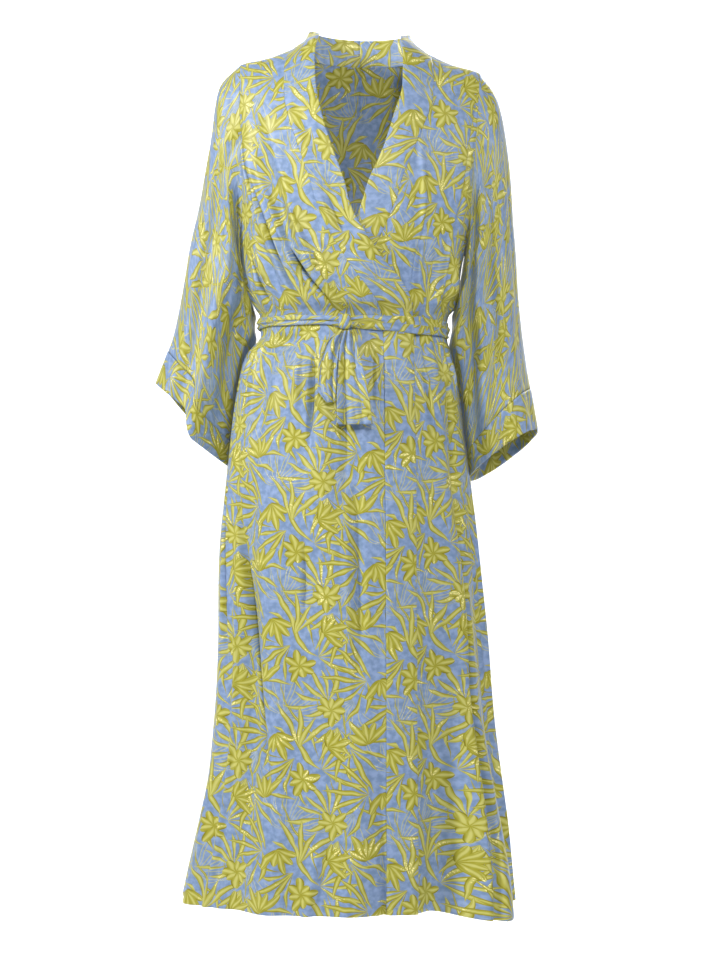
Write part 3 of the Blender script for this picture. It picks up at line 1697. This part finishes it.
class PrintedSatin:
    """The satin: a half drop print of strap leaves and blown flowers in gold on mottled blue."""

    WARP = 0.011
    EDGE = 0.16
    UNLIKE = 0.22
    WEAVE_SHARE = 0.06

    def __init__(self, design: PrintDesign) -> None:
        """Start the material.

        Args:
            design: the print.
        """
        self.design = design
        self.shader = Shader("printed_satin")

    def _local(self, x: Value, y: Value, motif: Motif) -> tuple[Value, Value]:
        """Give a place's distances along and across a motif from its root."""
        sh, design = self.shader, self.design
        across = (x + motif.shift[0]) / design.wide
        up = (y + motif.shift[1]) / design.high + sh.maths("FLOOR", across) * design.drop
        px = (sh.maths("FRACT", across) - (0.5 + motif.root[0] / design.wide)) * design.wide
        py = (sh.maths("FRACT", up) - (0.5 + motif.root[1] / design.high)) * design.high
        c, s = math.cos(math.radians(motif.angle)), math.sin(math.radians(motif.angle))
        return px * c + py * s, py * c - px * s

    def _blade(self, x: Value, y: Value, motif: Motif) -> tuple[Value, Value, Value]:
        """Give how far inside the nearest leaf a place is, and its places along and across it."""
        sh = self.shader
        step = math.radians(motif.spread)
        px, py = self._local(x, y, motif)
        angle = sh.maths("ARCTAN2", py, px)
        index = sh.maths("ROUND", angle / step)
        if motif.kind is not FLOWER:
            index = sh.maths("MINIMUM", sh.maths("MAXIMUM", index, float(-motif.count)), float(motif.count))
        turned = angle - index * step
        radius = sh.maths("SQRT", px * px + py * py)
        length = (1.0 + sh.maths("SINE", index * 2.3 + motif.angle) * self.UNLIKE) * motif.length
        u = radius * sh.maths("COSINE", turned) / length
        arch = sh.maths("MAXIMUM", u * (4.0 - u * 4.0), 0.0)
        half = arch if motif.full == 1.0 else sh.maths("POWER", arch, motif.full)
        v = radius * sh.maths("SINE", turned)
        if motif.bend:
            v = v - arch * (index + 0.6) * (motif.bend * motif.length * 0.25)
        side = v / (half * motif.width + 0.00001)
        return 1.0 - sh.maths("ABSOLUTE", side), u, side

    def _motif(self, x: Value, y: Value, motif: Motif) -> tuple[Value, Value]:
        """Give where a motif is printed, and how light it is there."""
        sh = self.shader
        inside, u, side = self._blade(x, y, motif)
        mask = sh.ease(0.0, self.EDGE, inside)
        if motif.kind is GHOST:
            mask = mask * (1.0 - sh.ease(0.3, 0.6, inside)) * 0.75
            return mask, u * 0.1 + motif.tone
        depth = 0.16 if motif.full == 1.0 else 0.22
        engraved = sh.maths("SINE", side * motif.lines + u * 3.0) * depth
        light = sh.ease(0.16, 0.5, inside) * 0.62 + engraved
        if motif.full != 1.0:
            light = light - (1.0 - sh.ease(0.08, 0.45, u)) * 0.3
        return mask, sh.maths("ADD", light, motif.tone - 0.35, clamped=True)

    def _gold(self, light: Value, sparkle: Value) -> Value:
        """Colour the gold print.

        Args:
            light: how light the engraving is.
            sparkle: where the foil shines.

        Returns:
            The colour.
        """
        sh, design = self.shader, self.design
        dark = sh.blend(sh.ease(0.0, 0.45, light), design.gold_line, design.gold_mid)
        gold = sh.blend(sh.ease(0.4, 0.95, light), dark, design.gold_light)
        return sh.blend(sparkle * sh.ease(0.60, 0.74, light), gold, design.gold_bright)

    def build(self) -> bpy.types.Material:
        """Build the material.

        Returns:
            The material.
        """
        sh, design = self.shader, self.design
        place = sh.node("ShaderNodeUVMap", {}, uv_map="UVMap")
        plain = sh.parts(place)
        cloudy = sh.node("ShaderNodeTexNoise", {"Vector": place, "Scale": 30.0, "Detail": 1.0}, output=1)
        x, y = (at + (off - 0.5) * self.WARP for at, off in zip(plain, sh.parts(cloudy)))

        mottle = sh.noise(place, 120.0, 2.0)
        shade = sh.ease(0.30, 0.72, mottle)
        coverage: Value | None = None
        light: Value | None = None
        for motif in MOTIFS:
            mask, own = self._motif(x, y, motif)
            light = own if light is None else sh.node("ShaderNodeMix", {0: mask, 2: light, 3: own})
            coverage = mask if coverage is None else sh.maths("MAXIMUM", coverage, mask)
        strokes = sh.ease(0.50, 0.56, sh.noise(place, 420.0, 1.0))
        sparkle = sh.ease(0.60, 0.66, sh.noise(place, 30.0, 1.0)) * strokes
        ground = sh.blend(shade, design.ground_dark, design.ground_light)
        colour = sh.blend(coverage, ground, self._gold(light + (mottle - 0.5) * 0.3, sparkle))
        rumple = sh.noise(place, 48.0, 2.0)
        weave = sh.noise(place, 900.0, 0.0)
        bump = sh.node(
            "ShaderNodeBump",
            {"Strength": 0.5, "Distance": 0.0016, "Height": rumple + weave * self.WEAVE_SHARE},
        )
        surface = sh.node(
            "ShaderNodeBsdfPrincipled",
            {"Base Color": colour, "Roughness": 0.5 - coverage * 0.06, "Normal": bump,
             "Specular IOR Level": 0.4, "Sheen Weight": 0.1, "Sheen Roughness": 0.4},
        )
        return sh.finish(surface)


def plain_material(name: str, colour: Colour, rough: float) -> bpy.types.Material:
    """Make a material of one colour.

    Args:
        name: its name.
        colour: its colour in linear light.
        rough: its roughness.

    Returns:
        The material.
    """
    shader = Shader(name)
    surface = shader.node("ShaderNodeBsdfPrincipled", {"Base Color": colour, "Roughness": rough})
    return shader.finish(surface)


@dataclass(frozen=True)
class Lamp:
    """A soft round light: where it stands and what it faces, its width and its power."""

    name: str
    place: tuple[float, float, float]
    aim: tuple[float, float, float]
    size: float
    power: float


MIDDLE = (0.0, 0.0, -0.6)
LAMPS = (
    Lamp("key", (-2.5, -1.1, 1.0), MIDDLE, 0.6, 76.0),
    Lamp("fill", (2.4, -1.5, 0.9), MIDDLE, 0.9, 22.0),
    Lamp("front", (0.25, -2.9, 1.3), (0.0, 0.0, -0.35), 0.9, 24.0),
    Lamp("chest", (0.15, -1.9, 0.6), (0.0, 0.0, -0.12), 0.35, 14.0),
    Lamp("wall", (0.0, 2.4, 1.9), (0.0, 4.2, -0.7), 3.0, 150.0),
    Lamp("back", (1.5, 2.3, 1.3), MIDDLE, 0.9, 40.0),
)


class Studio:
    """The camera, lights and plain surroundings of the picture."""

    CAMERA_AWAY = 3.0
    CAMERA_Z = -0.6375
    LENS = 75.0
    SENSOR = 36.0
    PICTURE = (720, 960)
    PAPER = (0.97, 0.97, 0.97, 1)
    PAPER_SIZE = 20.0
    FLOOR_Z = -1.62
    WALL_Y = 4.2
    AMBIENT = 0.12

    def build(self) -> None:
        """Set up the picture."""
        self._camera()
        self._surroundings()
        for lamp in LAMPS:
            self._lamp(lamp)
        scene = bpy.context.scene
        scene.render.resolution_x, scene.render.resolution_y = self.PICTURE
        scene.view_settings.view_transform = "Standard"
        scene.view_settings.exposure = 0.0

    def _camera(self) -> None:
        """Place the camera as the photograph was taken."""
        place = (0.0, -self.CAMERA_AWAY, self.CAMERA_Z)
        bpy.ops.object.camera_add(location=place, rotation=(math.pi / 2, 0.0, 0.0))
        camera = bpy.context.active_object
        camera.name = "camera"
        camera.data.lens = self.LENS
        camera.data.sensor_width = self.SENSOR
        bpy.context.scene.camera = camera

    def _surroundings(self) -> None:
        """Lay the paper floor and backdrop, and set the light all round."""
        paper = plain_material("paper", self.PAPER, 0.9)
        bpy.ops.mesh.primitive_plane_add(size=self.PAPER_SIZE, location=(0.0, 0.0, self.FLOOR_Z))
        floor = bpy.context.active_object
        floor.name = "floor"
        upright = (math.pi / 2, 0.0, 0.0)
        behind = (0.0, self.WALL_Y, 0.0)
        bpy.ops.mesh.primitive_plane_add(size=self.PAPER_SIZE, location=behind, rotation=upright)
        wall = bpy.context.active_object
        wall.name = "backdrop"
        for piece in (floor, wall):
            piece.data.materials.append(paper)
        world = bpy.context.scene.world or bpy.data.worlds.new("world")
        bpy.context.scene.world = world
        world.use_nodes = True
        background = next(n for n in world.node_tree.nodes if n.type == "BACKGROUND")
        background.inputs["Color"].default_value = (1.0, 1.0, 1.0, 1.0)
        background.inputs["Strength"].default_value = self.AMBIENT

    def _lamp(self, lamp: Lamp) -> None:
        """Place one lamp.

        Args:
            lamp: the lamp.
        """
        bpy.ops.object.light_add(type="AREA", location=lamp.place)
        light = bpy.context.active_object
        light.name = lamp.name
        light.data.shape = "DISK"
        light.data.size = lamp.size
        light.data.energy = lamp.power
        aim = np.array(lamp.aim) - np.array(lamp.place)
        flat = math.hypot(aim[0], aim[1])
        tilt = math.pi / 2 + math.atan2(aim[2], flat)
        light.rotation_euler = (tilt, 0.0, math.atan2(aim[1], aim[0]) - math.pi / 2)


class Robe:
    """Builds every piece of the robe and declares what each one is."""

    def __init__(self) -> None:
        """Work out the form and start the materials."""
        self.form = RobeForm()
        self.flat = Flattening(self.form)
        self.maker = ClothMaker(PrintedSatin(PrintDesign()).build())
        self.thread = plain_material("thread", THREAD_COLOUR, 0.5)

    def _declare(self, node: str, weave: Weave, flat: tuple) -> None:
        """Say what a sheet of cloth stands for and how large it was cut.

        Args:
            node: the solid that it replaces.
            weave: its cloth.
            flat: its width and length when flat, in metres.
        """
        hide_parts(node)
        area = round(min(weave.area(), flat[0] * flat[1]), 4)
        LOG.info("%s: %.4f square metres of cloth", node, weave.area())

    def panels(self) -> None:
        """Make the back and the two fronts."""
        panels = Panels(self.form, self.flat)
        for name, weave, flat in (
            ("front_right", panels.front("right"), (0.36, 1.31)),
            ("front_left", panels.front("left"), (0.36, 1.31)),
            ("back", panels.back(), (0.60, 1.31)),
        ):
            piece = self.maker.sheet(f"robe_{name}", weave, CLOTH_THICK)
            self._declare(name, weave, flat)
        for side, cut in (("right", SLEEVE_RIGHT), ("left", SLEEVE_LEFT)):
            sleeve = Sleeve(self.form, cut, panels.armhole(side, Sleeve.HALF_COUNT))
            body = sleeve.weave(0.0, CUFF_SHARE - 0.001, Sleeve.RINGS)
            cuff = sleeve.weave(CUFF_SHARE, 1.0, Sleeve.CUFF_RINGS)
            piece = self.maker.sheet(f"robe_sleeve_{side}", body, CLOTH_THICK, tube=True)
            self._declare(f"sleeve_{side}", body, (0.56, 0.44))
            piece = self.maker.sheet(f"robe_cuff_{side}", cuff, BAND_THICK, tube=True)
            self._declare(f"cuff_{side}", cuff, (0.50, 0.043))

    def bands(self) -> None:
        """Make the two halves of the neckband."""
        band = Neckband(self.form)
        for side in ("right", "left"):
            weave = band.weave(side)
            piece = self.maker.sheet(f"robe_neckband_{side}", weave, BAND_THICK)
            self._declare(f"neckband_{side}", weave, (0.046, 1.45))

    def sash(self) -> None:
        """Make the sash, its knot and its ends."""
        sash = Sash(self.form)
        ring = sash.ring()
        piece = self.maker.sheet("robe_sash", ring, SASH_THICK, tube=True)
        self._declare("sash", ring, (0.065, 0.80))
        knot = Knot(self.form).build(self.maker)
        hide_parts("sash_knot")
        for side, rows, waves in (("right", TAIL_RIGHT, 1.5), ("left", TAIL_LEFT, 2.0)):
            weave = sash.tail(rows, waves)
            piece = self.maker.sheet(f"robe_sash_end_{side}", weave, TAIL_THICK)
            self._declare(f"sash_end_{side}", weave, (0.05, 0.145))

    def sewing(self) -> None:
        """Sew the hem."""
        thread = Stitching(self.thread)
        row = HEM_ROW - Stitching.HEM_UP / ROW_SCALE
        for name, layer, first, last in (
            ("hem_right", Layer.OVER, 82.0, 178.0),
            ("hem_left", Layer.UNDER, 2.0, 100.0),
            ("hem_back", Layer.BACK, 182.0, 358.0),
        ):
            turns = np.linspace(first, last, Stitching.HEM_POINTS)
            rows = np.full_like(turns, row)
            path = self.form.point(turns, rows, layer)
            below = self.form.point(turns, rows + 0.02, layer)
            outward = unit(np.cross(np.gradient(path, axis=0), below - path))
            thread.row(f"robe_stitches_{name}", path, outward)

    def build(self) -> None:
        """Build the whole robe."""
        self.panels()
        self.bands()
        self.sash()
        self.sewing()


def main() -> None:
    """Build the robe and its picture."""
    logging.basicConfig(level=logging.INFO, format="%(name)s %(message)s")
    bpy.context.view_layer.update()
    Robe().build()
    Studio().build()


if __name__ == "__main__":
    main()
